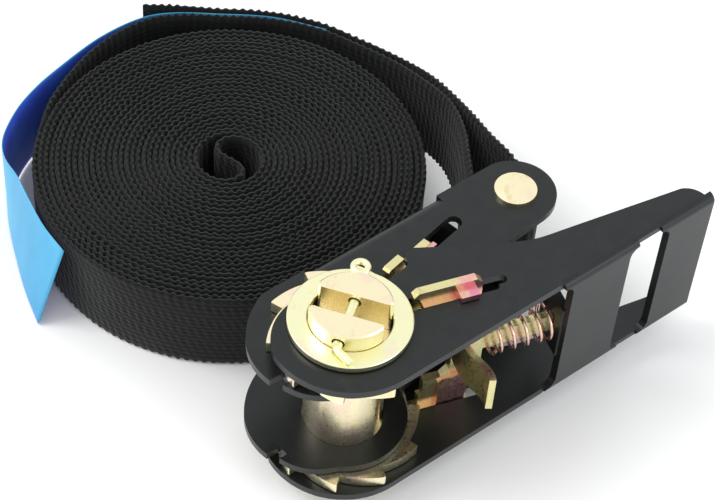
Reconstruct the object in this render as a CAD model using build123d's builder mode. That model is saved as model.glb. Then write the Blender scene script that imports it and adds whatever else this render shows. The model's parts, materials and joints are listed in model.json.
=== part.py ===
"""Endless 25 mm ratchet strap: ratchet buckle lying on its side beside its rolled webbing.

Millimetres, +Z up, floor at z = 0. The drum axis is vertical. "Deck" coordinates are
measured from that axis with +X towards the rivet, and are shifted by DRUM_X, DRUM_Y so
that the origin is the centre of the footprint.
"""
import os
from math import acos, asin, cos, degrees, radians, sin, sqrt

from build123d import *

os.makedirs("parts", exist_ok=True)

# ---------------------------------------------------------------- driving dimensions
DRUM_X = -35.28  # drum axis in the part's frame
DRUM_Y = -43.11
MID = 27.6  # height of the buckle's middle plane
WEB_W = 25.0  # webbing width
WEB_T = 1.5  # webbing thickness

FRAME_IN = 13.25  # half the inner width between the frame's side plates
FRAME_T = 2.0
WHEEL_T = 3.0
WHEEL_GAP = 0.3
HANDLE_IN = 18.9
HANDLE_T = 2.0
WASHER_GAP = 0.3
WASHER_T = 1.7

DRUM_R = 9.67
SLOT_HALF = 2.85  # half the gap between the two mandrel halves
CHORD_ANGLE = -66.6  # direction of the mandrels' flat faces
BORE_R = 9.75  # holes that the drum turns in
KEY_GAP = 0.05

TEETH = 10
TIP_R = 19.2
ROOT_R = 16.2
FIRST_TIP = -35.0  # angle of one tooth tip
WASHER_R = 14.35
COTTER_Z = 25.0  # cotter height from the middle plane
COTTER_R = 1.15

RIVET_X = 62.0
RIVET_END_R = 10.05
HUB_R = 15.5
BAND_R = 20.05
CAM_R = 23.4
NOTCH_R = 18.0

HANDLE_ANGLE = -11.25
HANDLE_L = 95.0  # drum axis to the grip's end
HANDLE_EDGE = 20.6  # drum axis to the panels' outer face
PLATE_EDGE = 19.7  # drum axis to the side plates' edge beside the windows
HANDLE_R = 19.6
OPEN_ANGLE = 165.0

PAWL_ANGLE = -28.75  # drive pawl's sliding direction
PAWL_SIDE = 1.2  # how far its middle plane passes beside the drum axis
PAWL_T = 2.0
DOUBLER_T = 1.2
LOCK_Y = 5.25  # middle plane of the lock pawl

ROLL_X = 35.25
ROLL_Y = 69.34
ROLL_LONG_R = 49.7  # the roll is slightly oval
ROLL_SHORT_R = 47.9
ROLL_TURN = -50.0  # direction of its longer axis
ROLL_HOLE_R = 7.0

DRUM_HALF = MID  # the drum's lower end stands on the floor
FRAME_OUT = FRAME_IN + FRAME_T
WHEEL_IN = FRAME_OUT + WHEEL_GAP
WHEEL_OUT = WHEEL_IN + WHEEL_T
HANDLE_OUT = HANDLE_IN + HANDLE_T
WASHER_IN = HANDLE_OUT + WASHER_GAP
WASHER_OUT = WASHER_IN + WASHER_T

# frame plates
LONG_EDGE = -11.1  # direction of the frame's long edge
SHORT_EDGE = -5.8
EDGE_OUT = RIVET_X * sin(radians(-LONG_EDGE)) + RIVET_END_R  # drum axis to the long edge
OPEN_PAWL = PAWL_ANGLE - OPEN_ANGLE + 360  # drive pawl's direction with the handle open
CAM_END = 136.0  # the cam's rim falls away from here to the notch
FRAME_WEB = (4.0, 44.4)  # along the long edge
FRAME_BEND = 3.0
LOCK_SLOT = (17.0, 45.8)
LOCK_SLOT_Y = (2.6, 6.5)
FLANGE_X = 45.5
FLANGE_Y = (-1.5, 12.6)
FLANGE_HALF = 9.0

# rivet and sleeve
RIVET_R = 3.0
RIVET_HEAD_R = 5.2
RIVET_HEAD_T = 1.9
SLEEVE_R = 5.0
SLEEVE_GAP = 0.1

# handle
PANELS = (47.0, HANDLE_L)  # along the handle, both panels and their corner webs
PAWL_WINDOW = (36.0, 50.0)
GRIP_WINDOW = (68.0, 80.6)
WINDOW_CORNER = 2.6
HANDLE_BEND = 2.2
SPRING_SEAT = 52.9  # along the drive pawl's direction
DRIVE_SLOT = (14.6, 39.0)
DOUBLER_SLOT = (14.6, 36.5)
RELIEF_R = 14.1  # hidden under the washer, clear of the lock pawl
SEAT_HALF = 8.5
SEAT_TIP = 7.0
SEAT_ROOT = -3.4

# drive pawl, along and up from the middle plane
TONGUE_HALF = 2.6
TONGUE_END = 55.6
EAR_TOP = 24.4
EAR = (15.5, 32.5)
PRONG = 20.45
PRONG_TIP = 19.6
PRONG_LOW = 9.8
BODY = (27.0, 35.0)
BODY_IN = 12.95
TAB = (-3.0, 7.8)  # heights of the finger tab's edges from the middle plane

# lock pawl
LOCK_TONGUE_HALF = 1.9
LOCK_TONGUE_END = 50.6
LOCK_BODY = (27.0, 36.0)
LOCK_TIP = 19.1
LOCK_EAR = 30.8
LOCK_EAR_TOP = 15.8

# lap and label
LAP_R = 53.4  # inner face of the lap that stands off the roll
LAP_T = 3.3  # two layers of webbing with the label between
LAP_START = 0.0
LAP_END = 68.0
LABEL_T = 0.6

# springs and cotter
DRIVE_SPRING = (35.7, 52.2)  # start and end along the pawl's direction
DRIVE_SPRING_R = 4.8
DRIVE_WIRE_R = 0.5
LOCK_SPRING = (37.0, 44.8)
LOCK_SPRING_R = 3.3
LOCK_WIRE_R = 0.45
EYE_AT = 13.3  # drum axis to the cotter eye's centre
EYE_TURN = 7.5  # the eye's turn from the shank's direction
EYE_RING_R = 1.7
EYE_WIRE_R = 0.75


# ---------------------------------------------------------------- planes and helpers
def polar(radius, angle):
    """A point at a radius and an angle in degrees."""
    return (radius * cos(radians(angle)), radius * sin(radians(angle)))


def deck(height, angle=0.0):
    """Horizontal plane over the drum axis, at a height from the middle plane."""
    return Plane(
        origin=(DRUM_X, DRUM_Y, MID + height),
        x_dir=(*polar(1, angle), 0),
        z_dir=(0, 0, 1),
    )


def upright(angle, side):
    """Vertical plane along a direction from the drum axis, its local Y straight up.

    side moves it to the left of that direction. Its normal points to the right.
    """
    along = polar(1, angle)
    left = (-along[1], along[0])
    return Plane(
        origin=(DRUM_X + side * left[0], DRUM_Y + side * left[1], MID),
        x_dir=(*along, 0),
        z_dir=(along[1], -along[0], 0),
    )


def save(piece, name):
    """Label a finished piece and write its STEP."""
    piece.part.label = name
    export_step(piece.part, f"parts/{name}.step")


# ---------------------------------------------------------------- frame


def frame_outline():
    """Side plate outline: rivet end, long edge, cam, lock notch, band, hub arc."""
    rivet_top = LONG_EDGE + 90
    rivet_low = SHORT_EDGE - 90
    cam_start = rivet_top + degrees(acos(EDGE_OUT / CAM_R))
    notch_w = PAWL_SIDE + PAWL_T / 2 + 0.4
    notch_end = OPEN_PAWL + degrees(asin(notch_w / BAND_R))
    notch_floor_end = OPEN_PAWL + degrees(asin(notch_w / NOTCH_R))
    hub_start = 217.0
    hub_end = 340.0
    with BuildLine() as outline:
        rivet_arc = CenterArc(
            (RIVET_X, 0), RIVET_END_R, rivet_low, rivet_top - rivet_low
        )
        cam_arc = CenterArc((0, 0), CAM_R, cam_start, CAM_END - cam_start)
        Line(rivet_arc @ 1, cam_arc @ 0)
        fall = ThreePointArc(
            cam_arc @ 1, polar(CAM_R - 0.5, (CAM_END + OPEN_PAWL) / 2), polar(CAM_R - 1.7, OPEN_PAWL)
        )
        Polyline(
            fall @ 1,
            polar(NOTCH_R, OPEN_PAWL),
            polar(NOTCH_R, notch_floor_end),
            polar(BAND_R, notch_end),
        )
        hub_arc = CenterArc((0, 0), HUB_R, hub_start, hub_end - hub_start)
        ThreePointArc(polar(BAND_R, notch_end), polar(BAND_R - 1.5, 192), hub_arc @ 0)
        Line(hub_arc @ 1, rivet_arc @ 0)
    return outline.line


def bend_corners(face, half_width, bend):
    """Material outside two bent corners, in a section with local X out of the web."""
    for side in (-1, 1):
        with Locations((face - bend / 2, side * (half_width - bend / 2))):
            Rectangle(bend, bend)
    for side in (-1, 1):
        with Locations((face - bend, side * (half_width - bend))):
            Circle(bend, mode=Mode.SUBTRACT)


def make_frame():
    """Bent sheet: two side plates, the web between them, and the spring flange."""
    slot_length = LOCK_SLOT[1] - LOCK_SLOT[0]
    slot_width = LOCK_SLOT_Y[1] - LOCK_SLOT_Y[0]
    slot_middle = (sum(LOCK_SLOT) / 2, sum(LOCK_SLOT_Y) / 2)
    web_length = FRAME_WEB[1] - FRAME_WEB[0]
    with BuildPart() as frame:
        for low in (-FRAME_OUT, FRAME_IN):
            with BuildSketch(deck(low)):
                with BuildLine():
                    add(frame_outline())
                make_face()
                Circle(BORE_R, mode=Mode.SUBTRACT)
                with Locations((RIVET_X, 0)):
                    Circle(RIVET_R, mode=Mode.SUBTRACT)
                with Locations(slot_middle):
                    SlotOverall(slot_length, slot_width, mode=Mode.SUBTRACT)
            extrude(amount=FRAME_T)
        with BuildSketch(deck(-FRAME_OUT, LONG_EDGE)):
            with Locations((sum(FRAME_WEB) / 2, EDGE_OUT - FRAME_T / 2)):
                Rectangle(web_length, FRAME_T)
        extrude(amount=2 * FRAME_OUT)
        with BuildSketch(upright(LONG_EDGE + 90, -FRAME_WEB[0])):
            bend_corners(EDGE_OUT, FRAME_OUT, FRAME_BEND)
        extrude(amount=web_length, mode=Mode.SUBTRACT)
        with BuildSketch(deck(-FLANGE_HALF)):
            with Locations((FLANGE_X + FRAME_T / 2, sum(FLANGE_Y) / 2)):
                Rectangle(FRAME_T, FLANGE_Y[1] - FLANGE_Y[0])
        extrude(amount=2 * FLANGE_HALF)
        with BuildSketch(upright(90, -FLANGE_X - 2 * FRAME_T)):
            with Locations((LOCK_Y, 0)):
                Rectangle(PAWL_T + 0.8, 2 * LOCK_TONGUE_HALF + 0.8)
        extrude(amount=-3 * FRAME_T, mode=Mode.SUBTRACT)
    save(frame, "buckle_frame")


# ---------------------------------------------------------------- rivet


def make_rivet():
    """Cross rivet with a domed head above and a formed head below."""
    centre = (DRUM_X + RIVET_X, DRUM_Y, MID)
    top = FRAME_OUT + RIVET_HEAD_T
    formed_r = RIVET_HEAD_R - 0.6
    with BuildPart() as rivet:
        with BuildSketch(Plane(origin=centre, x_dir=(1, 0, 0), z_dir=(0, -1, 0))):
            with BuildLine():
                Line((0, -top), (0, top))
                TangentArc((0, top), (RIVET_HEAD_R, top - 0.9), tangent=(1, 0))
                Polyline(
                    (RIVET_HEAD_R, top - 0.9),
                    (RIVET_HEAD_R, FRAME_OUT),
                    (RIVET_R, FRAME_OUT),
                    (RIVET_R, -FRAME_OUT),
                    (formed_r, -FRAME_OUT),
                    (formed_r, -top + 0.8),
                )
                TangentArc((0, -top), (formed_r, -top + 0.8), tangent=(1, 0))
            make_face()
        revolve(axis=Axis(centre, (0, 0, 1)))
    save(rivet, "end_rivet")


def make_sleeve():
    """Spacer tube on the rivet, which the webbing loop turns round."""
    length = 2 * (FRAME_IN - 0.1)
    with BuildPart() as sleeve:
        with BuildSketch(deck(-length / 2)):
            with Locations((RIVET_X, 0)):
                Circle(SLEEVE_R)
                Circle(RIVET_R + SLEEVE_GAP, mode=Mode.SUBTRACT)
        extrude(amount=length)
    save(sleeve, "rivet_sleeve")


# ---------------------------------------------------------------- drum
def mandrel_section(gap=0.0):
    """One half of the split drum: a circle's segment with blunt corners."""
    reach = sqrt(DRUM_R**2 - SLOT_HALF**2)
    with BuildSketch(mode=Mode.PRIVATE) as section:
        Circle(DRUM_R)
        with Locations((0, -DRUM_R + SLOT_HALF)):
            Rectangle(2 * DRUM_R, 2 * DRUM_R, mode=Mode.SUBTRACT)
        corners = section.vertices().filter_by(lambda v: abs(abs(v.X) - reach) < 0.01)
        fillet(corners, radius=0.9)
        if gap:
            offset(amount=gap)
    return section.sketch


def make_mandrel(name, turn):
    """Half of the slotted drum, with a cotter hole near each end."""
    angle = CHORD_ANGLE + turn
    with BuildPart() as mandrel:
        with BuildSketch(deck(-DRUM_HALF, angle)):
            add(mandrel_section())
        extrude(amount=2 * DRUM_HALF)
        for height in (-COTTER_Z, COTTER_Z):
            with BuildSketch(upright(angle, -1)):
                with Locations((0, height)):
                    Circle(COTTER_R + 0.4)
            extrude(amount=-(DRUM_R + 3), mode=Mode.SUBTRACT)
        ends = mandrel.faces().sort_by(Axis.Z)
        chamfer((ends[0].outer_wire().edges(), ends[-1].outer_wire().edges()), length=0.35)
    save(mandrel, name)


def tooth_outline():
    """Sawtooth wheel outline: each tip drops steeply, then the ramp climbs to the next."""
    pitch = 360 / TEETH
    steep = 2.0
    land = 1.2
    ramp_middle = (ROOT_R + TIP_R) / 2 - 0.15
    with BuildLine() as outline:
        for k in range(TEETH):
            tip = FIRST_TIP + k * pitch
            root = polar(ROOT_R, tip + steep)
            following = polar(TIP_R, tip + pitch - land)
            Polyline(polar(TIP_R, tip), root)
            ThreePointArc(root, polar(ramp_middle, tip + steep + (pitch - land - steep) / 2), following)
            Line(following, polar(TIP_R, tip + pitch))
    return outline.line


def make_wheel(name, low):
    """Ratchet wheel, keyed on both mandrel halves."""
    with BuildPart() as wheel:
        with BuildSketch(deck(low)):
            with BuildLine():
                add(tooth_outline())
            make_face()
        extrude(amount=WHEEL_T)
        for turn in (0, 180):
            with BuildSketch(deck(low, CHORD_ANGLE + turn)):
                add(mandrel_section(KEY_GAP))
            extrude(amount=WHEEL_T, mode=Mode.SUBTRACT)
    save(wheel, name)


def make_washer(name, low):
    """Flat washer between the handle and the cotter."""
    with BuildPart() as washer:
        with BuildSketch(deck(low)):
            Circle(WASHER_R)
            Circle(BORE_R, mode=Mode.SUBTRACT)
        extrude(amount=WASHER_T)
        chamfer(washer.edges().filter_by(GeomType.CIRCLE), length=0.2)
    save(washer, name)


def make_cotter(name, side):
    """Split pin through both mandrels: eye behind, one leg bent over the washer."""
    normal = CHORD_ANGLE + 90  # points to the back half
    height = side * COTTER_Z
    leg_z = side * (WASHER_OUT + 0.95)
    eye_at = polar(EYE_AT, normal + EYE_TURN)
    out = polar(DRUM_R + 0.9, normal + 180)
    knee = polar(DRUM_R + 1.6, normal + 183)
    tip = polar(13.9, normal + 197)
    shank = Plane(
        origin=(DRUM_X, DRUM_Y, MID + height), z_dir=(*polar(1, normal), 0)
    )
    with BuildPart() as cotter:
        with BuildSketch(shank.offset(-(DRUM_R + 0.9))):
            Circle(COTTER_R)
        extrude(amount=2 * DRUM_R + 2.2)
        with BuildLine() as bent:
            Polyline(
                (DRUM_X + out[0], DRUM_Y + out[1], MID + height),
                (DRUM_X + knee[0], DRUM_Y + knee[1], MID + height - side * 0.4),
                (DRUM_X + tip[0], DRUM_Y + tip[1], MID + leg_z),
            )
        leg = bent.wires()[0]
        with BuildSketch(Plane(leg @ 0, z_dir=leg % 0)):
            Circle(0.9)
        sweep(path=leg, transition=Transition.ROUND)
        with BuildSketch(upright(normal + EYE_TURN, 0)):
            with Locations((EYE_AT + EYE_RING_R, height)):
                Circle(EYE_WIRE_R)
        revolve(axis=Axis((DRUM_X + eye_at[0], DRUM_Y + eye_at[1], MID + height), (0, 0, 1)))
    save(cotter, name)


# ---------------------------------------------------------------- handle


def handle_outline():
    """Side plate outline in the handle's own direction."""
    with BuildLine() as outline:
        drum_end = CenterArc((0, 0), HANDLE_R, 172, 98)
        relief = CenterArc((0, 0), RELIEF_R, 19.5, 98.5)
        ThreePointArc(relief @ 1, polar(17.3, 146), drum_end @ 0)
        lower = Line(drum_end @ 1, (HANDLE_L - 2.0, -PLATE_EDGE))
        corner = ThreePointArc(lower @ 1, (HANDLE_L - 2.4, -16.6), (HANDLE_L - 5.2, -13.9))
        slope = Line(corner @ 1, (58.0, -7.2))
        neck = Spline(
            slope @ 1,
            (50.5, -5.4),
            (44.5, -2.3),
            (38.0, 2.2),
            (31.5, 5.4),
            (26.6, 8.4),
            tangents=((-0.98, 0.2), (-0.85, 0.52)),
        )
        shoulder = ThreePointArc(neck @ 1, (23.2, 8.6), (22.0, 6.4))
        Polyline(shoulder @ 1, (21.2, 5.6), (17.6, 4.9), relief @ 0)
    return outline.line


def panel_cut(span, corner):
    """One window between the panels, in a sketch with X along the handle."""
    with Locations(((span[0] + span[1]) / 2, 0)):
        RectangleRounded(span[1] - span[0], 2 * HANDLE_IN, corner, mode=Mode.SUBTRACT)


def pawl_slots():
    """Two joined slots that the drive pawl's ear and its doubler slide in."""
    width = PAWL_T + 0.5
    main = (sum(DRIVE_SLOT) / 2, PAWL_SIDE)
    with Locations(main):
        SlotOverall(DRIVE_SLOT[1] - DRIVE_SLOT[0], width)
    side = PAWL_SIDE - PAWL_T / 2 - DOUBLER_T / 2
    with Locations((sum(DOUBLER_SLOT) / 2, side)):
        SlotOverall(DOUBLER_SLOT[1] - DOUBLER_SLOT[0], DOUBLER_T + 0.7)


def make_handle():
    """Bent sheet lever: side plates, two outer panels and the spring seat flange."""
    with BuildPart() as handle:
        with BuildSketch(deck(-HANDLE_OUT, HANDLE_ANGLE)):
            with BuildLine():
                add(handle_outline())
            make_face()
            Circle(BORE_R, mode=Mode.SUBTRACT)
        extrude(amount=HANDLE_T)
        with BuildSketch(deck(HANDLE_IN, HANDLE_ANGLE)):
            with BuildLine():
                add(handle_outline())
            make_face()
            Circle(BORE_R, mode=Mode.SUBTRACT)
        extrude(amount=HANDLE_T)
        with BuildSketch(upright(HANDLE_ANGLE, -HANDLE_EDGE)):
            with Locations((sum(PANELS) / 2, 0)):
                Rectangle(PANELS[1] - PANELS[0], 2 * HANDLE_OUT)
            panel_cut(PAWL_WINDOW, WINDOW_CORNER)
            panel_cut(GRIP_WINDOW, WINDOW_CORNER)
        extrude(amount=-HANDLE_T)
        with BuildSketch(deck(-HANDLE_OUT, PAWL_ANGLE)):
            pawl_slots()
        extrude(amount=2 * HANDLE_OUT, mode=Mode.SUBTRACT)
        with BuildSketch(deck(-SEAT_HALF, PAWL_ANGLE)):
            with Locations((SPRING_SEAT + HANDLE_T / 2, (SEAT_TIP + SEAT_ROOT) / 2)):
                Rectangle(HANDLE_T, SEAT_TIP - SEAT_ROOT)
        extrude(amount=2 * SEAT_HALF)
        with BuildSketch(upright(PAWL_ANGLE + 90, -SPRING_SEAT - 2 * HANDLE_T)):
            with Locations((PAWL_SIDE, 0)):
                Rectangle(PAWL_T + 0.8, 2 * TONGUE_HALF + 0.8)
        extrude(amount=-3 * HANDLE_T, mode=Mode.SUBTRACT)
        with BuildSketch(upright(HANDLE_ANGLE - 90, PANELS[0])):
            bend_corners(HANDLE_EDGE, HANDLE_OUT, HANDLE_BEND)
        extrude(amount=PANELS[0] - PANELS[1], mode=Mode.SUBTRACT)
        with BuildSketch(deck(-HANDLE_OUT, HANDLE_ANGLE)):
            for span in (PAWL_WINDOW, GRIP_WINDOW):
                with Locations(((span[0] + span[1]) / 2, -PLATE_EDGE - 1)):
                    Rectangle(span[1] - span[0] - 2 * WINDOW_CORNER, 2)
        extrude(amount=2 * HANDLE_OUT, mode=Mode.SUBTRACT)
    save(handle, "handle")


# ---------------------------------------------------------------- pawls


def drive_profile():
    """Upper half of the drive pawl plate: tongue, body, prong, ear."""
    with BuildLine() as outline:
        Polyline(
            (BODY[0], 0),
            (BODY[0], PRONG_LOW - 2),
            (BODY[0] - 2, PRONG_LOW),
            (PRONG, PRONG_LOW),
            (PRONG, FRAME_OUT + 0.15),
            (PRONG_TIP, FRAME_OUT + 0.15),
            (PRONG_TIP, HANDLE_IN + 0.1),
            (EAR[0], HANDLE_IN + 0.1),
            (EAR[0], EAR_TOP - 1.2),
            (EAR[0] + 1.2, EAR_TOP),
            (EAR[1] - 1.6, EAR_TOP),
            (EAR[1], EAR_TOP - 1.6),
            (EAR[1], BODY_IN + 2),
            (BODY[1], BODY_IN - 2),
            (BODY[1], TONGUE_HALF),
            (TONGUE_END, TONGUE_HALF),
            (TONGUE_END, 0),
            close=True,
        )
    return outline.line


def make_drive_pawl():
    """Forked plate through the handle's slots, with a bent finger tab."""
    with BuildPart() as pawl:
        with BuildSketch(upright(PAWL_ANGLE, PAWL_SIDE + PAWL_T / 2)):
            with BuildLine():
                add(drive_profile())
            make_face()
            mirror(about=Plane.XZ)
        extrude(amount=PAWL_T)
        with BuildSketch(deck(TAB[0], PAWL_ANGLE)):
            with BuildLine() as centre:
                Spline(
                    (27.9, PAWL_SIDE - 0.4),
                    (27.6, -4.0),
                    (28.1, -8.1),
                    (29.3, -11.6),
                    (29.8, -14.2),
                    (29.5, -16.4),
                )
            trace(centre.line, line_width=PAWL_T - 0.4)
        extrude(amount=TAB[1] - TAB[0])
    save(pawl, "drive_pawl")


def make_drive_doubler():
    """Thin stiffening plate clinched to the drive pawl, with lugs over the handle."""
    low = PAWL_SIDE - PAWL_T / 2
    start = 24.0
    lug = (26.0, 30.6)
    with BuildPart() as doubler:
        with BuildSketch(upright(PAWL_ANGLE, low)):
            with BuildLine():
                Polyline(
                    (BODY[0] + 2.4, 0),
                    (BODY[0] + 2.4, PRONG_LOW - 1),
                    (start, PRONG_LOW + 1),
                    (start, HANDLE_IN + 0.1),
                    (17.6, HANDLE_IN + 0.1),
                    (17.6, HANDLE_OUT - 0.3),
                    (lug[0], HANDLE_OUT - 0.3),
                    (lug[0], HANDLE_OUT + 1.9),
                    (lug[1], HANDLE_OUT + 1.9),
                    (lug[1], HANDLE_OUT - 0.3),
                    (EAR[1] - 1.2, HANDLE_OUT - 0.3),
                    (EAR[1] - 1.2, PRONG_LOW + 2),
                    (BODY[1] - 3.2, PRONG_LOW - 1),
                    (BODY[1] - 3.2, 0),
                    close=True,
                )
            make_face()
            mirror(about=Plane.XZ)
        extrude(amount=DOUBLER_T)
        for side in (-1, 1):
            bottom = HANDLE_OUT + 0.3 if side > 0 else -HANDLE_OUT - 1.9
            with BuildSketch(deck(bottom, PAWL_ANGLE)):
                with Locations(((lug[0] + lug[1]) / 2, low - 1.5)):
                    Rectangle(lug[1] - lug[0], 3.0)
            extrude(amount=1.6)
    save(doubler, "drive_pawl_doubler")


def make_lock_pawl():
    """Forked plate through the frame's slots, its prongs over the wheels."""
    with BuildPart() as pawl:
        with BuildSketch(upright(0, LOCK_Y + PAWL_T / 2)):
            with BuildLine():
                Polyline(
                    (LOCK_BODY[0], 0),
                    (LOCK_BODY[0], 7.5),
                    (LOCK_BODY[0] - 2, 9.5),
                    (22.5, 9.5),
                    (22.5, BODY_IN),
                    (LOCK_TIP, BODY_IN),
                    (LOCK_TIP, WHEEL_OUT - 0.6),
                    (LOCK_TIP + 0.6, WHEEL_OUT),
                    (24.6, WHEEL_OUT),
                    (24.6, BODY_IN),
                    (LOCK_EAR, BODY_IN),
                    (LOCK_EAR, LOCK_EAR_TOP),
                    (34.6, LOCK_EAR_TOP),
                    (35.2, LOCK_EAR_TOP - 0.6),
                    (35.2, BODY_IN),
                    (LOCK_BODY[1], BODY_IN - 2),
                    (LOCK_BODY[1], LOCK_TONGUE_HALF),
                    (LOCK_TONGUE_END, LOCK_TONGUE_HALF),
                    (LOCK_TONGUE_END, 0),
                    close=True,
                )
            make_face()
            mirror(about=Plane.XZ)
        extrude(amount=PAWL_T)
    save(pawl, "lock_pawl")


def make_lock_doubler():
    """Thin stiffening plate clinched to the lock pawl."""
    with BuildPart() as doubler:
        with BuildSketch(upright(0, LOCK_Y - PAWL_T / 2)):
            with BuildLine():
                Polyline(
                    (LOCK_BODY[0] + 1.2, 0),
                    (LOCK_BODY[0] + 1.2, 8.5),
                    (24.4, 10.5),
                    (24.4, BODY_IN),
                    (LOCK_EAR + 0.6, BODY_IN),
                    (LOCK_EAR + 0.6, LOCK_EAR_TOP - 0.3),
                    (35.6, LOCK_EAR_TOP - 0.3),
                    (36.2, LOCK_EAR_TOP - 0.9),
                    (36.2, BODY_IN),
                    (LOCK_BODY[1] - 3.2, 10.5),
                    (LOCK_BODY[1] - 3.2, 0),
                    close=True,
                )
            make_face()
            mirror(about=Plane.XZ)
        extrude(amount=DOUBLER_T)
    save(doubler, "lock_pawl_doubler")


# ---------------------------------------------------------------- springs
def make_spring(name, angle, side, span, turns, radius, wire_r):
    """Compression spring along a pawl's tongue."""
    along = polar(1, angle)
    left = (-along[1], along[0])
    base = (
        DRUM_X + along[0] * span[0] + left[0] * side,
        DRUM_Y + along[1] * span[0] + left[1] * side,
        MID,
    )
    length = span[1] - span[0]
    pitch = length / turns
    with BuildPart() as spring:
        with BuildLine() as coil:
            Helix(pitch=pitch, height=length, radius=radius, center=base, direction=(*along, 0))
        wire = coil.wires()[0]
        with BuildSketch(Plane(wire @ 0, z_dir=wire % 0)):
            Circle(wire_r)
        sweep(path=wire, is_frenet=True)
    save(spring, name)


# ---------------------------------------------------------------- webbing and label
def roll_point(radius, angle):
    """A point about the roll's centre, in deck coordinates."""
    x, y = polar(radius, angle)
    return (ROLL_X + x, ROLL_Y + y)


def floor_deck(height=0.0):
    """Horizontal plane at a height over the floor, in deck coordinates."""
    return deck(height - MID)


def make_roll():
    """The rolled length of webbing, edge down on the floor."""
    with BuildPart() as roll:
        with BuildSketch(floor_deck()):
            with Locations((ROLL_X, ROLL_Y)):
                Ellipse(ROLL_LONG_R, ROLL_SHORT_R, rotation=ROLL_TURN)
                Circle(ROLL_HOLE_R, mode=Mode.SUBTRACT)
        extrude(amount=WEB_W)
    save(roll, "webbing_roll")


def joining_lap(out):
    """Curve of the single layer that closes in on the roll, moved out by a distance."""
    ease = Spline(
        roll_point(LAP_R + out, LAP_END),
        roll_point(LAP_R - 0.7 + out, LAP_END + 18),
        roll_point(LAP_R - 2.6 + out, LAP_END + 36),
        roll_point(ROLL_LONG_R + 0.5 + out, LAP_END + 52),
        roll_point(ROLL_LONG_R + 0.1 + out, LAP_END + 64),
        tangents=(polar(1, LAP_END + 90), polar(1, LAP_END + 154)),
    )
    return ease


def section_plane(station):
    """Upright plane across the webbing: x, y of its right-hand face, heading, foot height."""
    x, y, heading, foot = station
    return Plane(
        origin=(DRUM_X + x, DRUM_Y + y, foot),
        x_dir=(*polar(1, heading + 90), 0),
        z_dir=(*polar(1, heading), 0),
    )


def make_tail():
    """Webbing from the roll round its back to the rivet, looped and sewn to itself."""
    loop_r = SLEEVE_R + 0.1
    loop_foot = MID - WEB_W / 2
    both = [
        (ROLL_X + LAP_R, ROLL_Y, -90, 0.0),
        (88.6, 58.0, -93, 1.7),
        (86.5, 46.0, -105, 4.8),
        (82.2, 34.3, -116, 8.0),
    ]
    inner = [
        (82.2, 34.3, -116, 8.0),
        (75.0, 26.0, -134, 10.9),
        (66.0, 17.6, -137, 13.9),
        (59.2, 10.4, -122, loop_foot),
        (55.9, 4.0, -100, loop_foot),
        (RIVET_X - loop_r - WEB_T, 0.0, -90, loop_foot),
    ]
    shift = LAP_T - WEB_T
    outer = [
        (82.2 + shift * cos(radians(-26)), 34.3 + shift * sin(radians(-26)), -116, 8.0),
        (77.2, 20.0, -113, 12.3),
        (72.7, 8.5, -113, loop_foot),
        (RIVET_X + loop_r, 0.0, -90, loop_foot),
    ]
    with BuildPart() as tail:
        with BuildSketch(floor_deck()):
            with BuildLine():
                near = CenterArc((ROLL_X, ROLL_Y), LAP_R, LAP_START, LAP_END - LAP_START)
                far = CenterArc((ROLL_X, ROLL_Y), LAP_R + LAP_T, LAP_START, LAP_END - LAP_START)
                Line(near @ 0, far @ 0)
                Line(near @ 1, far @ 1)
            make_face()
            with BuildLine():
                inside = joining_lap(0)
                outside = joining_lap(WEB_T)
                Line(inside @ 0, outside @ 0)
                Line(inside @ 1, outside @ 1)
            make_face()
        extrude(amount=WEB_W)
        for run, thick in ((both, LAP_T), (inner, WEB_T), (outer, WEB_T)):
            for station in run:
                with BuildSketch(section_plane(station)):
                    with Locations((thick / 2, WEB_W / 2)):
                        Rectangle(thick, WEB_W)
            loft(ruled=True)
        with BuildSketch(deck(-WEB_W / 2)):
            with BuildLine():
                wide = CenterArc((RIVET_X, 0), loop_r + WEB_T, 180, 180)
                tight = CenterArc((RIVET_X, 0), loop_r, 180, 180)
                Line(wide @ 0, tight @ 0)
                Line(wide @ 1, tight @ 1)
            make_face()
        extrude(amount=WEB_W)
    save(tail, "webbing_tail")


def make_label():
    """Sewn-in label: it leaves the lap and bows out round the roll."""
    with BuildPart() as label:
        with BuildSketch(floor_deck(0.5)):
            with BuildLine() as line:
                Spline(
                    roll_point(56.2, LAP_END),
                    roll_point(55.7, 82),
                    roll_point(55.2, 98),
                    roll_point(57.2, 115),
                    roll_point(58.0, 130),
                    roll_point(56.8, 148),
                    roll_point(57.6, 168),
                    tangents=(polar(1, LAP_END + 90), polar(1, 258)),
                )
            trace(line.line, line_width=LABEL_T)
        extrude(amount=WEB_W - 1.5)
    save(label, "sewn_label")


# ---------------------------------------------------------------- build
make_frame()
make_rivet()
make_sleeve()
make_mandrel("mandrel_front", 180)
make_mandrel("mandrel_back", 0)
make_wheel("ratchet_wheel_upper", WHEEL_IN)
make_wheel("ratchet_wheel_lower", -WHEEL_OUT)
make_washer("washer_upper", WASHER_IN)
make_washer("washer_lower", -WASHER_OUT)
make_cotter("cotter_pin_upper", 1)
make_cotter("cotter_pin_lower", -1)
make_handle()
make_drive_pawl()
make_drive_doubler()
make_lock_pawl()
make_lock_doubler()
make_spring("drive_spring", PAWL_ANGLE, PAWL_SIDE, DRIVE_SPRING, 6, DRIVE_SPRING_R, DRIVE_WIRE_R)
make_spring("lock_spring", 0, LOCK_Y, LOCK_SPRING, 4, LOCK_SPRING_R, LOCK_WIRE_R)
make_roll()
make_tail()
make_label()
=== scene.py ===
"""Looks of the ratchet strap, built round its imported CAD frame. Metres, in the row frame."""
import json
import math

import bpy
import numpy as np
from mathutils import Matrix, Vector


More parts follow.
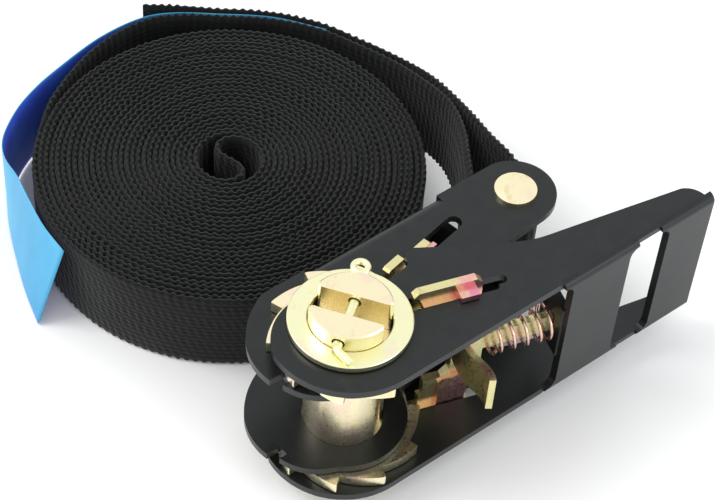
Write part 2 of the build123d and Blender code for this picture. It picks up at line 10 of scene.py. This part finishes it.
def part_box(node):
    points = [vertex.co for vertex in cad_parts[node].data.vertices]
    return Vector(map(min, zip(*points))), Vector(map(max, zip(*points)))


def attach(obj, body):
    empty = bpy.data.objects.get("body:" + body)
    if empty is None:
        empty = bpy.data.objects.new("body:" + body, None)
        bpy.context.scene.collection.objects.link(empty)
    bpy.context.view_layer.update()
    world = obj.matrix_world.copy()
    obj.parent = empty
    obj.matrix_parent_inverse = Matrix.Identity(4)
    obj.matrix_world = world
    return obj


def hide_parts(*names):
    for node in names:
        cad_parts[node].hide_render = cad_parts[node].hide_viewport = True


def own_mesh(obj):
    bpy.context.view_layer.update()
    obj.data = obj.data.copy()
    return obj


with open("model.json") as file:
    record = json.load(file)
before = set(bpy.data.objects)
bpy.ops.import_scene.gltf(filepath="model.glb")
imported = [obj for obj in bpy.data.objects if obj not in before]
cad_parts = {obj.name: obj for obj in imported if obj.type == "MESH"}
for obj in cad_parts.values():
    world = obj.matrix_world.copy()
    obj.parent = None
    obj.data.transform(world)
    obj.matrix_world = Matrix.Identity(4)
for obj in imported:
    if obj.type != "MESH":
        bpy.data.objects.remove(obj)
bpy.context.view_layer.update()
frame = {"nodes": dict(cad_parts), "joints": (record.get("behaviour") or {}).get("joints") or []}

MM = 0.001
JOINTS = {joint["name"]: joint for joint in frame["joints"]}
DRUM = Vector(JOINTS["handle_hinge"]["pos_m"])
RNG = np.random.default_rng(7)

# Camera, placed from the drum's axis
CAMERA_OFFSET = (-0.2336, -0.1754)
CAMERA_HEIGHT = 0.4127
CAMERA_HEADING = 39.995  # degrees, direction of view in plan
CAMERA_PITCH = 49.12  # degrees below level
CAMERA_ROLL = 2.41
CAMERA_LENS = 104.4
CAMERA_SHIFT = (0.1039, -0.0129)
CAMERA_NEAR = 0.01

# Stage
FLOOR_HALF = 3.0
FLOOR_DROP = 0.2 * MM
FLOOR_WHITE = 0.95

# Webbing
ROLL_LOW, ROLL_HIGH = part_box("webbing_roll")
ROLL = (ROLL_LOW + ROLL_HIGH) / 2
WEB_W = ROLL_HIGH.z - ROLL_LOW.z
WEB_T = 1.3 * MM
RIB = 2.2 * MM  # pitch of the ribs
RIB_DEPTH = 0.08 * MM
EDGE_WAVE = 0.3 * MM  # how far the selvedge ripples sideways
EDGE_LIFT = 0.55  # share of that ripple that goes up and down
EDGE_FROM = 0.42  # share of the width, from its middle, where the ripple starts
EDGE_POWER = 1.5
STEP = RIB / 5  # distance between stations along the webbing
SPLINE_STEPS = 40  # between two given points of a path
LIFT = 0.2 * MM  # gap between the lap's foot edge and the floor

# Roll: a folded strip, wound from its middle
ROLL_R = 48.9 * MM
ROLL_OVAL = 0.02  # how far the roll's long axis stands out
ROLL_TURN = -50.0  # direction of that axis
COIL_OUT = ROLL_R + 0.05 * MM
COIL_IN = 8.2 * MM
COIL_TURNS = 14.16
LEAVE = 120.0  # direction where the outer end leaves the roll
HOOK_SWEEP = 100.0  # degrees that the bend in the middle curls over
HOOK_FADE = 2.2
HOOK_FULLNESS = 0.9
HOOK_STEPS = 60
STEPS_PER_TURN = 180
STRAND_OVERRUN = 0.04  # how far the inner strand's end runs on, in turns
HEAD_GAP = 0.3 * MM  # from the roll's top down to the webbing's upper edge
FOOT_GAP = 0.15 * MM

# Slow random drift: (stations between knots, spread)
PHASE_DRIFT = (23, 0.7)  # where the ripple's crests fall
SWELL_DRIFT = (9, 0.28)  # how high they are
FOOT_DRIFT = (160, 0.12 * MM)
HEAD_DRIFT = (90, 0.14 * MM)
SWAY_DRIFT = (60, 0.07 * MM)  # sideways, in plan

# Lap from the roll to the rivet and back: (angle about the roll, radius mm) and (x, y, z mm) from the drum
LAP_OUT = ((115, 50.2), (109, 50.7), (98, 51.6), (87, 53.2), (77, 54.6), (70, 55.3), (64, 55.5),
           (56, 54.3), (45, 52.5), (35, 52.5), (25, 53.0), (15, 53.6), (5, 54.1))
RISE_OUT = ((89.8, 60.1, 1.8), (87.4, 47.4, 4.8), (82.9, 35.6, 8.2), (75.6, 26.0, 11.0), (66.3, 17.4, 13.9))
NEAR_LOOP_OUT = ((60.4, 11.4), (57.0, 5.6))
NEAR_LOOP_BACK = ((70.6, 4.2), (73.2, 9.5))
RISE_BACK = ((77.3, 18.7, 12.6), (84.9, 34.4, 8.3), (89.9, 47.6, 4.8), (91.9, 58.8, 1.9))
LAP_BACK = ((4, 56.2), (16, 55.8), (26, 55.4), (36, 55.1), (46, 55.3), (53, 56.8), (59, 58.8), (65.5, 61.3))
RIVET_LOW, RIVET_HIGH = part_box("rivet_sleeve")
RIVET = (RIVET_LOW + RIVET_HIGH) / 2
LOOP_R = (RIVET_HIGH.x - RIVET_LOW.x) / 2 + 0.9 * MM

# Label: angle about the roll, radius of the foot edge and of the head edge, mm
LABEL_T = 0.35 * MM
LABEL_LEAN = 1.8  # degrees that the head edge runs ahead of the foot, by the label's end
LABEL_LEAN_FROM = 8
LABEL_LEAN_SPAN = 160
LABEL_STEP = 1.5 * MM
LABEL_GAP = 0.3 * MM  # how far the label's edges stay inside the webbing's width
LABEL_PATH = ((14, 54.8, 54.8), (30, 54.0, 54.0), (46, 53.9, 53.9), (58, 56.2, 56.2), (66, 57.3, 57.2),
              (79, 56.6, 56.4), (97, 57.0, 55.8), (106, 57.6, 56.8), (115, 58.3, 57.9), (126, 58.7, 58.6),
              (132, 58.2, 57.2), (138, 57.4, 54.3), (147, 56.8, 52.4), (158, 57.6, 51.7), (169, 59.7, 51.6))

# Cross-section of a ribbon, as shares of its width and of half its thickness
SIDE_ROWS = (0.02, 0.06, 0.3, 0.5, 0.7, 0.94, 0.98)
CAP = ((0.4, 0.997), (0.0, 1.0), (-0.4, 0.997))
SHOULDER = 0.78  # half thickness at the outermost side rows
EDGE_HIGHLIGHT = {1.0: 1.0, 0.0: 1.0, 0.997: 0.08, 0.003: 0.08}  # share of width: how much of the pale edge colour it gets, a painted highlight where the edge catches the light

# Springs
SPRING_WIRE = 0.42 * MM  # radius of the wire
SPRING_TURNS = 5.5
CLOSED_TURNS = 0.8  # at each end
CLOSED_PITCH = 2.1  # in wire radii
SPRING_STEPS = 28  # per turn


# ------------------------------------------------------------------ camera and light
def add_camera():
    """Camera in front of the drum, looking down across the part."""
    heading, pitch, roll = (math.radians(a) for a in (CAMERA_HEADING, CAMERA_PITCH, CAMERA_ROLL))
    level = math.cos(pitch)
    back = Vector((-math.cos(heading) * level, -math.sin(heading) * level, math.sin(pitch)))
    right = Vector((math.sin(heading), -math.cos(heading), 0))
    up = back.cross(right)
    right_rolled = math.cos(roll) * right + math.sin(roll) * up
    up_rolled = math.cos(roll) * up - math.sin(roll) * right
    data = bpy.data.cameras.new("camera")
    data.lens = CAMERA_LENS
    data.sensor_width = 36.0
    data.shift_x, data.shift_y = CAMERA_SHIFT
    data.clip_start = CAMERA_NEAR
    camera = bpy.data.objects.new("camera", data)
    place = Vector((DRUM.x + CAMERA_OFFSET[0], DRUM.y + CAMERA_OFFSET[1], CAMERA_HEIGHT))
    turn = Matrix((right_rolled, up_rolled, back)).transposed()
    camera.matrix_world = Matrix.Translation(place) @ turn.to_4x4()
    bpy.context.scene.collection.objects.link(camera)
    bpy.context.scene.camera = camera


def add_area(name, place, size, power, colour=(1, 1, 1)):
    """A soft box light looking at the origin."""
    data = bpy.data.lights.new(name, "AREA")
    data.shape = "RECTANGLE"
    data.size, data.size_y = size
    data.energy = power
    data.color = colour
    lamp = bpy.data.objects.new(name, data)
    lamp.location = place
    lamp.rotation_euler = (-Vector(place)).to_track_quat("-Z", "Y").to_euler()
    bpy.context.scene.collection.objects.link(lamp)


def add_floor():
    """Large sheet of white paper under the part."""
    half = FLOOR_HALF
    mesh = bpy.data.meshes.new("floor")
    corners = [(-half, -half, 0), (half, -half, 0), (half, half, 0), (-half, half, 0)]
    mesh.from_pydata(corners, [], [(0, 1, 2, 3)])
    floor = bpy.data.objects.new("floor", mesh)
    floor.location.z = -FLOOR_DROP
    bpy.context.scene.collection.objects.link(floor)
    material, shader, _ = new_material("floor_paper")
    shader.inputs["Base Color"].default_value = (FLOOR_WHITE, FLOOR_WHITE, FLOOR_WHITE, 1)
    shader.inputs["Roughness"].default_value = 0.9
    shader.inputs["Specular IOR Level"].default_value = 0.1
    floor.data.materials.append(material)


def add_stage():
    """White floor, white surroundings and two soft boxes."""
    bpy.context.scene.view_settings.view_transform = "Standard"
    add_floor()
    world = bpy.data.worlds.new("studio")
    world.use_nodes = True
    background = world.node_tree.nodes["Background"]
    background.inputs["Color"].default_value = (1, 1, 1, 1)
    background.inputs["Strength"].default_value = 1.0
    bpy.context.scene.world = world
    add_area("key", (-0.45, 0.5, 0.8), (0.5, 0.5), 4.5)
    add_area("fill", (0.1, -0.9, 0.35), (0.5, 0.3), 2.0, (0.85, 0.93, 1.0))


# ------------------------------------------------------------------ material helpers
def new_material(name):
    """A node material, its shader and a function that adds linked nodes."""
    material = bpy.data.materials.new(name)
    material.use_nodes = True
    tree = material.node_tree
    shader = tree.nodes["Principled BSDF"]

    def node(kind, **values):
        made = tree.nodes.new(kind)
        for key, value in values.items():
            if hasattr(made, key):
                setattr(made, key, value)
            else:
                socket = made.inputs[key.replace("_", " ")]
                if isinstance(value, bpy.types.NodeSocket):
                    tree.links.new(value, socket)
                else:
                    socket.default_value = value
        return made

    return material, shader, node


def link(shader, source, target):
    """Link a source socket to a named input of the shader."""
    shader.id_data.links.new(source, shader.inputs[target])


def ramp(node, factor, stops):
    """Colour ramp with (position, colour) stops."""
    made = node("ShaderNodeValToRGB", Fac=factor)
    elements = made.color_ramp.elements
    while len(elements) < len(stops):
        elements.new(0.5)
    for element, (position, colour) in zip(elements, stops):
        element.position = position
        element.color = (*colour, 1)
    return made.outputs["Color"]


def multiply_add(node, value, factor, addend):
    """value * factor + addend, for two sockets and a plain factor."""
    made = node("ShaderNodeMath", operation="MULTIPLY_ADD")
    links = made.id_data.links
    links.new(value, made.inputs[0])
    made.inputs[1].default_value = factor
    links.new(addend, made.inputs[2])
    return made.outputs["Value"]


def mix_colours(node, factor, first, second):
    """Colour between two sockets."""
    made = node("ShaderNodeMix", data_type="RGBA")
    links = made.id_data.links
    links.new(factor, made.inputs["Factor"])
    links.new(first, made.inputs[6])
    links.new(second, made.inputs[7])
    return made.outputs[2]


def uneven_gloss(shader, node, value, low, high):
    """Roughness that follows a noise socket between two values."""
    gloss = node("ShaderNodeMapRange", Value=value)
    gloss.inputs["To Min"].default_value = low
    gloss.inputs["To Max"].default_value = high
    link(shader, gloss.outputs["Result"], "Roughness")


def add_bump(shader, node, height, strength, distance):
    """Fine relief from a height socket."""
    bump = node("ShaderNodeBump", Height=height, Strength=strength, Distance=distance)
    link(shader, bump.outputs["Normal"], "Normal")


# ------------------------------------------------------------------ materials
def black_plate(name):
    """Satin black lacquer on steel: orange peel, faint scuffs and uneven gloss."""
    material, shader, node = new_material(name)
    place = node("ShaderNodeTexCoord").outputs["Object"]
    broad = node("ShaderNodeTexNoise", Vector=place, Scale=60.0, Detail=5.0, Roughness=0.6)
    fine = node("ShaderNodeTexNoise", Vector=place, Scale=1400.0, Detail=2.0)
    scuffs = node("ShaderNodeTexNoise", Vector=place, Scale=260.0, Detail=8.0, Roughness=0.75)
    stops = [(0.35, (0.006, 0.0068, 0.0066)), (0.64, (0.011, 0.0122, 0.0118)), (0.8, (0.03, 0.031, 0.03))]
    link(shader, ramp(node, scuffs.outputs["Fac"], stops), "Base Color")
    uneven_gloss(shader, node, broad.outputs["Fac"], 0.26, 0.42)
    add_bump(shader, node, fine.outputs["Fac"], 0.12, 0.00008)
    shader.inputs["Specular IOR Level"].default_value = 0.42
    # blue tint on every reflection: a painted reflection colour standing in for bluish light
    shader.inputs["Specular Tint"].default_value = (0.9, 0.96, 1.0, 1)
    return material


def gold_zinc(name, warm, pale, pink, roughness=0.26):
    """Yellow-chromated zinc: an uneven film that drifts between gold, green and pink."""
    material, shader, node = new_material(name)
    place = node("ShaderNodeTexCoord").outputs["Object"]
    film = node("ShaderNodeTexNoise", Vector=place, Scale=75.0, Detail=4.0, Roughness=0.55, Distortion=0.6)
    streak_map = node("ShaderNodeMapping", Vector=place, Scale=(900.0, 900.0, 40.0))
    streaks = node("ShaderNodeTexNoise", Vector=streak_map.outputs["Vector"], Scale=1.0, Detail=3.0)
    tone = multiply_add(node, streaks.outputs["Fac"], 0.22, film.outputs["Fac"])
    stops = [(0.34, warm), (0.52, pale), (0.66, pale), (0.76, pink)]
    link(shader, ramp(node, tone, stops), "Base Color")
    shader.inputs["Metallic"].default_value = 1.0
    grit = node("ShaderNodeTexNoise", Vector=place, Scale=900.0, Detail=4.0, Roughness=0.7)
    uneven_gloss(shader, node, grit.outputs["Fac"], roughness - 0.08, roughness + 0.14)
    add_bump(shader, node, grit.outputs["Fac"], 0.18, 0.0001)
    return material


def webbing_material():
    """Black polyester webbing: threads across, twill, lint, and paler edge tips that are a painted
    highlight.
    """
    material, shader, node = new_material("webbing_weave")
    place = node("ShaderNodeUVMap", uv_map="weave").outputs["UV"]
    threads = node("ShaderNodeTexWave", Vector=place, Scale=1.0 / 0.0021, Distortion=1.2, Detail=2.0)
    threads.bands_direction = "Y"
    threads.inputs["Detail Scale"].default_value = 3.0
    twill = node("ShaderNodeTexWave", Vector=place, Scale=1.0 / 0.0034, Distortion=0.8)
    twill.bands_direction = "DIAGONAL"
    lint = node("ShaderNodeTexNoise", Vector=place, Scale=2600.0, Detail=3.0, Roughness=0.7).outputs["Fac"]
    broad = node("ShaderNodeTexNoise", Vector=place, Scale=90.0, Detail=3.0)
    height = multiply_add(node, threads.outputs["Fac"], 0.7, twill.outputs["Fac"])
    add_bump(shader, node, multiply_add(node, lint, 0.8, height), 0.6, 0.00014)
    tone = node("ShaderNodeMath", operation="MULTIPLY")
    material.node_tree.links.new(lint, tone.inputs[0])
    material.node_tree.links.new(broad.outputs["Fac"], tone.inputs[1])
    dark = [(0.12, (0.0018, 0.002, 0.0022)), (0.3, (0.005, 0.0058, 0.0057)), (0.5, (0.013, 0.0145, 0.014))]
    # pale colour of the edge tips: a painted highlight where the edges catch the light
    highlight_stops = [(0.35, (0.006, 0.007, 0.0068)), (0.6, (0.03, 0.034, 0.033)), (0.75, (0.085, 0.09, 0.086))]
    body = ramp(node, tone.outputs["Value"], dark)
    selvedge = ramp(node, lint, highlight_stops)
    edge_highlight = node("ShaderNodeAttribute", attribute_name="edge_highlight").outputs["Fac"]
    link(shader, mix_colours(node, edge_highlight, body, selvedge), "Base Color")
    shader.inputs["Roughness"].default_value = 0.72
    shader.inputs["Sheen Weight"].default_value = 0.12
    shader.inputs["Sheen Roughness"].default_value = 0.45
    shader.inputs["Specular IOR Level"].default_value = 0.15
    return material


def label_material():
    """Blue ribbon: deep blue towards the roll, light cyan outside, satin weave."""
    material, shader, node = new_material("label_ribbon")
    place = node("ShaderNodeUVMap", uv_map="weave").outputs["UV"]
    side = node("ShaderNodeAttribute", attribute_name="outer_side").outputs["Fac"]
    cloud = node("ShaderNodeTexNoise", Vector=place, Scale=70.0, Detail=3.0)
    deep = ramp(node, cloud.outputs["Fac"], [(0.3, (0.06, 0.08, 0.8)), (0.7, (0.05, 0.2, 0.95))])
    light = ramp(node, cloud.outputs["Fac"], [(0.3, (0.03, 0.3, 0.56)), (0.7, (0.07, 0.42, 0.68))])
    link(shader, mix_colours(node, side, deep, light), "Base Color")
    weave = node("ShaderNodeTexWave", Vector=place, Scale=1.0 / 0.0012, Distortion=0.5)
    add_bump(shader, node, weave.outputs["Fac"], 0.25, 0.00004)
    shader.inputs["Roughness"].default_value = 0.42
    return material


# ------------------------------------------------------------------ paths
def about_roll(radius, angle):
    """Plan point about the roll's centre."""
    turn = math.radians(angle)
    return (ROLL.x + radius * math.cos(turn), ROLL.y + radius * math.sin(turn))


def about_oval(radius, angle):
    """Plan point in the slightly oval roll."""
    stretch = 1 + ROLL_OVAL * math.cos(2 * math.radians(angle - ROLL_TURN))
    return about_roll(radius * stretch, angle)


def deck(x, y):
    """Plan point from millimetres measured from the drum's axis."""
    return (DRUM.x + x * MM, DRUM.y + y * MM)


def smooth_path(points, step):
    """Points at even steps along a centripetal Catmull-Rom curve through the given ones."""
    p = np.array(points, float)
    p = np.vstack([2 * p[0] - p[1], p, 2 * p[-1] - p[-2]])
    out = []
    for a, b, c, d in zip(p[:-3], p[1:-2], p[2:-1], p[3:]):
        t1 = np.linalg.norm(b[:2] - a[:2]) ** 0.5
        t2 = t1 + np.linalg.norm(c[:2] - b[:2]) ** 0.5
        t3 = t2 + np.linalg.norm(d[:2] - c[:2]) ** 0.5
        t = np.linspace(t1, t2, SPLINE_STEPS, endpoint=False)[:, None]
        a1 = (t1 - t) / t1 * a + t / t1 * b
        a2 = (t2 - t) / (t2 - t1) * b + (t - t1) / (t2 - t1) * c
        a3 = (t3 - t) / (t3 - t2) * c + (t - t2) / (t3 - t2) * d
        b1 = (t2 - t) / t2 * a1 + t / t2 * a2
        b2 = (t3 - t) / (t3 - t1) * a2 + (t - t1) / (t3 - t1) * a3
        out.append((t2 - t) / (t2 - t1) * b1 + (t - t1) / (t2 - t1) * b2)
    out.append(p[-2][None])
    return even_steps(np.vstack(out), step)


def even_steps(path, step):
    """Resample a polyline to even steps of its plan length."""
    run = np.concatenate([[0], np.cumsum(np.linalg.norm(np.diff(path[:, :2], axis=0), axis=1))])
    count = max(2, int(round(run[-1] / step)))
    at = np.linspace(0, run[-1], count + 1)
    return np.column_stack([np.interp(at, run, path[:, k]) for k in range(path.shape[1])])


def smooth_noise(count, span, amount):
    """Slow random drift, one value per station, about `span` stations between knots."""
    knots = RNG.normal(0, amount, max(4, count // span + 3))
    at = np.linspace(0, len(knots) - 1.001, count)
    low = at.astype(int)
    share = at - low
    share = share * share * (3 - 2 * share)
    return knots[low] * (1 - share) + knots[low + 1] * share


# ------------------------------------------------------------------ ribbons
def ribbon_profile():
    """Closed cross-section: (share of half thickness, share of width)."""
    left = [(1.0 if 0.03 < b < 0.97 else SHOULDER, b) for b in SIDE_ROWS]
    right = [(-a, b) for a, b in reversed(left)]
    foot = [(-a, round(1 - b, 3)) for a, b in CAP]
    return left + list(CAP) + right + foot


def ribbon_faces(run, across):
    """Faces of a closed strip and their UV corners: along the strip, and round its profile."""
    count, size = len(run), across.shape[1] - 1
    faces, corners = [], []
    for i in range(count - 1):
        for k in range(size):
            n = (k + 1) % size
            faces.append((i * size + k, i * size + n, (i + 1) * size + n, (i + 1) * size + k))
            near, far = across[i, k], across[i, k + 1]
            corners += [(run[i], near), (run[i], far), (run[i + 1], far), (run[i + 1], near)]
    for i, order in ((0, range(size - 1, -1, -1)), (count - 1, range(size))):
        faces.append(tuple(i * size + k for k in order))
        corners += [(run[i], across[i, k]) for k in order]
    return faces, corners


def ribbon(name, feet, heads, thick, wave=0.0, rib=0.0):
    """Solid strip from foot line to head line, with rippling edges and ribs across."""
    count = len(feet)
    up = heads - feet
    width = np.linalg.norm(up, axis=1)[:, None]
    up = up / width
    middle = (feet + heads) / 2
    along = np.gradient(middle, axis=0)
    along /= np.linalg.norm(along, axis=1)[:, None]
    normal = np.cross(along, up)
    normal /= np.linalg.norm(normal, axis=1)[:, None]
    run = np.concatenate([[0], np.cumsum(np.linalg.norm(np.diff(middle, axis=0), axis=1))])
    phase = 2 * math.pi * run / RIB
    slow = smooth_noise(count, *PHASE_DRIFT)
    swell = 1 + smooth_noise(count, *SWELL_DRIFT)
    ripple = np.sin(phase + slow) * swell
    lift = np.cos(phase + slow) * swell
    profile = ribbon_profile()
    size = len(profile)
    verts = np.zeros((count, size, 3))
    for k, (a, b) in enumerate(profile):
        edge = np.clip((abs(b - 0.5) - EDGE_FROM) / (0.5 - EDGE_FROM), 0, 1) ** EDGE_POWER
        bulge = 1 + (rib / (thick / 2)) * np.sin(phase) * (1 - edge)
        out = a * thick / 2 * bulge + wave * edge * ripple
        rise = b * width[:, 0] + math.copysign(1, b - 0.5) * wave * EDGE_LIFT * edge * lift
        verts[:, k] = feet + normal * out[:, None] + up * rise[:, None]
    faces, corners = ribbon_faces(run, 2 * width * np.arange(size + 1) / size)
    mesh = bpy.data.meshes.new(name)
    mesh.from_pydata(verts.reshape(-1, 3).tolist(), [], faces)
    layer = mesh.uv_layers.new(name="weave")
    layer.data.foreach_set("uv", np.array(corners, np.float32).ravel())
    # share of painted highlight per vertex round the profile, strongest on the edge tips
    edge_highlight = mesh.attributes.new("edge_highlight", "FLOAT", "POINT")
    edge_highlight.data.foreach_set("value", [EDGE_HIGHLIGHT.get(b, 0.0) for _, b in profile] * count)
    mesh.polygons.foreach_set("use_smooth", [True] * len(mesh.polygons))
    mesh.update()
    made = bpy.data.objects.new(name, mesh)
    bpy.context.scene.collection.objects.link(made)
    return made, run[-1]


def strand(overrun, offset):
    """Plan points of one strand of the folded, rolled webbing, from the middle outwards."""
    points = []
    first = LEAVE + offset + 360 * COIL_TURNS
    for s in np.linspace(0, 1, HOOK_STEPS, endpoint=False):
        radius = COIL_IN * math.sin(math.pi / 2 * s) ** HOOK_FULLNESS if s else 0.0
        points.append(about_oval(radius, first + HOOK_SWEEP * (1 - s**HOOK_FADE)))
    for turns in np.arange(COIL_TURNS, -overrun, -1 / STEPS_PER_TURN):
        radius = COIL_OUT - (COIL_OUT - COIL_IN) * turns / COIL_TURNS
        points.append(about_oval(radius, LEAVE + offset + 360 * turns))
    return points


def coil_stations():
    """The whole rolled length: inner end of one strand, S-bend in the middle, other strand."""
    inner = strand(STRAND_OVERRUN, 180)
    outer = strand(0.0, 0)
    path = np.array(inner[:0:-1] + outer)
    return even_steps(path, STEP)


def lap_stations():
    """Foot x, y, z and head x, y, z along the lap, the rise, the loop and the return."""
    rise = RIVET.z * 1000 - WEB_W * 1000 / 2
    out = [(*about_roll(radius * MM, angle), LIFT) for angle, radius in LAP_OUT]
    out += [(*deck(x, y), z * MM) for x, y, z in RISE_OUT]
    out += [(*deck(x, y), rise * MM) for x, y in NEAR_LOOP_OUT]
    for angle in range(180, 361, 30):
        x = RIVET.x + LOOP_R * math.cos(math.radians(angle))
        y = RIVET.y + LOOP_R * math.sin(math.radians(angle))
        out.append((x, y, rise * MM))
    out += [(*deck(x, y), rise * MM) for x, y in NEAR_LOOP_BACK]
    out += [(*deck(x, y), z * MM) for x, y, z in RISE_BACK]
    out += [(*about_roll(radius * MM, angle), LIFT) for angle, radius in LAP_BACK]
    path = smooth_path(out, STEP)
    heads = path.copy()
    heads[:, 2] += WEB_W
    return np.hstack([path, heads])


def webbing_piece():
    """Rolled webbing, the lap that leaves it, the loop round the rivet and the return."""
    coil = coil_stations()
    count = len(coil)
    foot = np.abs(smooth_noise(count, *FOOT_DRIFT)) + FOOT_GAP
    head = WEB_W - HEAD_GAP + smooth_noise(count, *HEAD_DRIFT)
    sway_x = smooth_noise(count, *SWAY_DRIFT)
    sway_y = smooth_noise(count, *SWAY_DRIFT)
    plan = coil + np.column_stack([sway_x, sway_y])
    lap = lap_stations()
    feet = np.vstack([np.column_stack([plan, foot]), lap[:, :3]])
    heads = np.vstack([np.column_stack([plan, head]), lap[:, 3:6]])
    return ribbon("rolled_webbing", feet, heads, WEB_T, EDGE_WAVE, RIB_DEPTH)


def label_piece():
    """The sewn-in label: between the layers, out along the back and round the roll's left."""
    lines = []
    for angle, foot_r, head_r in LABEL_PATH:
        lean = LABEL_LEAN * (angle - LABEL_LEAN_FROM) / LABEL_LEAN_SPAN
        foot = about_roll(foot_r * MM, angle)
        head = about_roll(head_r * MM, angle + lean)
        lines.append((*foot, LABEL_GAP, *head, WEB_W - LABEL_GAP))
    path = smooth_path(lines, LABEL_STEP)
    made, length = ribbon("sewn_ribbon", path[:, :3], path[:, 3:6], LABEL_T)
    outer = made.data.attributes.new("outer_side", "FLOAT", "FACE")
    size = len(ribbon_profile())
    values = [1.0 if (i % size) < size // 2 else 0.0 for i in range(len(made.data.polygons))]
    outer.data.foreach_set("value", values)
    return made, length


# ------------------------------------------------------------------ springs
def coil_line(start, end, turns, radius):
    """Points along the wire of a compression spring with closed end coils."""
    axis = end - start
    length = axis.length
    axis.normalize()
    across = axis.cross(Vector((0, 0, 1))).normalized()
    other = axis.cross(across)
    dead = CLOSED_PITCH * SPRING_WIRE
    steps = int(turns * SPRING_STEPS)
    for i in range(steps + 1):
        turn = i / steps * turns
        body = min(max((turn - CLOSED_TURNS) / (turns - 2 * CLOSED_TURNS), 0), 1)
        ends = min(turn, CLOSED_TURNS) / CLOSED_TURNS
        ends += max(turn - (turns - CLOSED_TURNS), 0) / CLOSED_TURNS
        place = SPRING_WIRE + dead * ends + body * (length - 2 * SPRING_WIRE - 2 * dead)
        angle = 2 * math.pi * turn
        swing = across * (radius * math.cos(angle)) + other * (radius * math.sin(angle))
        yield start + axis * place + swing


def spring_piece(name, start, end, radius):
    """Solid spring: a tube along its wire."""
    points = list(coil_line(start, end, SPRING_TURNS, radius))
    curve = bpy.data.curves.new(name, "CURVE")
    curve.dimensions = "3D"
    curve.bevel_depth = SPRING_WIRE
    curve.bevel_resolution = 4
    curve.use_fill_caps = True
    spline = curve.splines.new("POLY")
    spline.points.add(len(points) - 1)
    for point, at in zip(spline.points, points):
        point.co = (*at, 1)
    wire = bpy.data.objects.new(name, curve)
    bpy.context.scene.collection.objects.link(wire)
    depsgraph = bpy.context.evaluated_depsgraph_get()
    mesh = bpy.data.meshes.new_from_object(wire.evaluated_get(depsgraph))
    solid = bpy.data.objects.new(name + "_coil", mesh)
    bpy.context.scene.collection.objects.link(solid)
    bpy.data.objects.remove(wire)
    mesh.polygons.foreach_set("use_smooth", [True] * len(mesh.polygons))
    return solid


def add_spring(node, joint, keep_body, radius):
    """Coil in place of a CAD spring, fixed to the body that keeps it."""
    low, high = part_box(node)
    middle = (low + high) / 2
    axis = Vector(JOINTS[joint]["axis"]).normalized()
    outer = 2 * (radius + SPRING_WIRE)
    length = ((high.x - low.x) - outer * abs(axis.y)) / abs(axis.x)
    start = middle - axis * length / 2
    end = middle + axis * length / 2
    coil = spring_piece(node, start, end, radius)
    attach(coil, keep_body)
    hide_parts(node)
    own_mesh(coil)
    return coil


# ------------------------------------------------------------------ dressing
def give(obj, material):
    """Replace an object's materials with the one given."""
    obj.data.materials.clear()
    obj.data.materials.append(material)


def dress_cad_nodes():
    """Materials for the CAD nodes that stay visible. Returns the one that the springs share."""
    plate = black_plate("black_lacquer")
    brass = gold_zinc("zinc_gold", (0.78, 0.6, 0.27), (0.97, 0.88, 0.6), (0.98, 0.78, 0.62))
    green = gold_zinc("zinc_pale", (0.8, 0.72, 0.32), (0.93, 0.93, 0.6), (0.96, 0.84, 0.66), 0.3)
    olive = gold_zinc("zinc_olive", (0.5, 0.42, 0.14), (0.78, 0.72, 0.38), (0.86, 0.46, 0.42), 0.26)
    rose = gold_zinc("zinc_rose", (0.62, 0.5, 0.2), (0.84, 0.52, 0.42), (0.78, 0.3, 0.42), 0.24)
    chosen = {
        "buckle_frame": plate, "handle": plate,
        "end_rivet": brass, "rivet_sleeve": brass,
        "mandrel_front": brass, "mandrel_back": brass,
        "ratchet_wheel_upper": brass, "ratchet_wheel_lower": brass,
        "washer_upper": green, "washer_lower": green,
        "cotter_pin_upper": green, "cotter_pin_lower": green,
        "drive_pawl": olive, "drive_pawl_doubler": rose,
        "lock_pawl": olive, "lock_pawl_doubler": rose,
    }
    for name, material in chosen.items():
        give(frame["nodes"][name], material)
    return rose


# ------------------------------------------------------------------ the scene
add_camera()
add_stage()
rose_zinc = dress_cad_nodes()

webbing, webbing_length = webbing_piece()
give(webbing, webbing_material())
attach(webbing, "frame")
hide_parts("webbing_roll", "webbing_tail")

ribbon_label, label_length = label_piece()
give(ribbon_label, label_material())
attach(ribbon_label, "frame")
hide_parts("sewn_label")

drive_coil = add_spring("drive_spring", "drive_pawl_slide", "handle", 4.8 * MM)
give(drive_coil, rose_zinc)
lock_coil = add_spring("lock_spring", "lock_pawl_slide", "frame", 3.3 * MM)
give(lock_coil, rose_zinc)

bpy.context.view_layer.update()
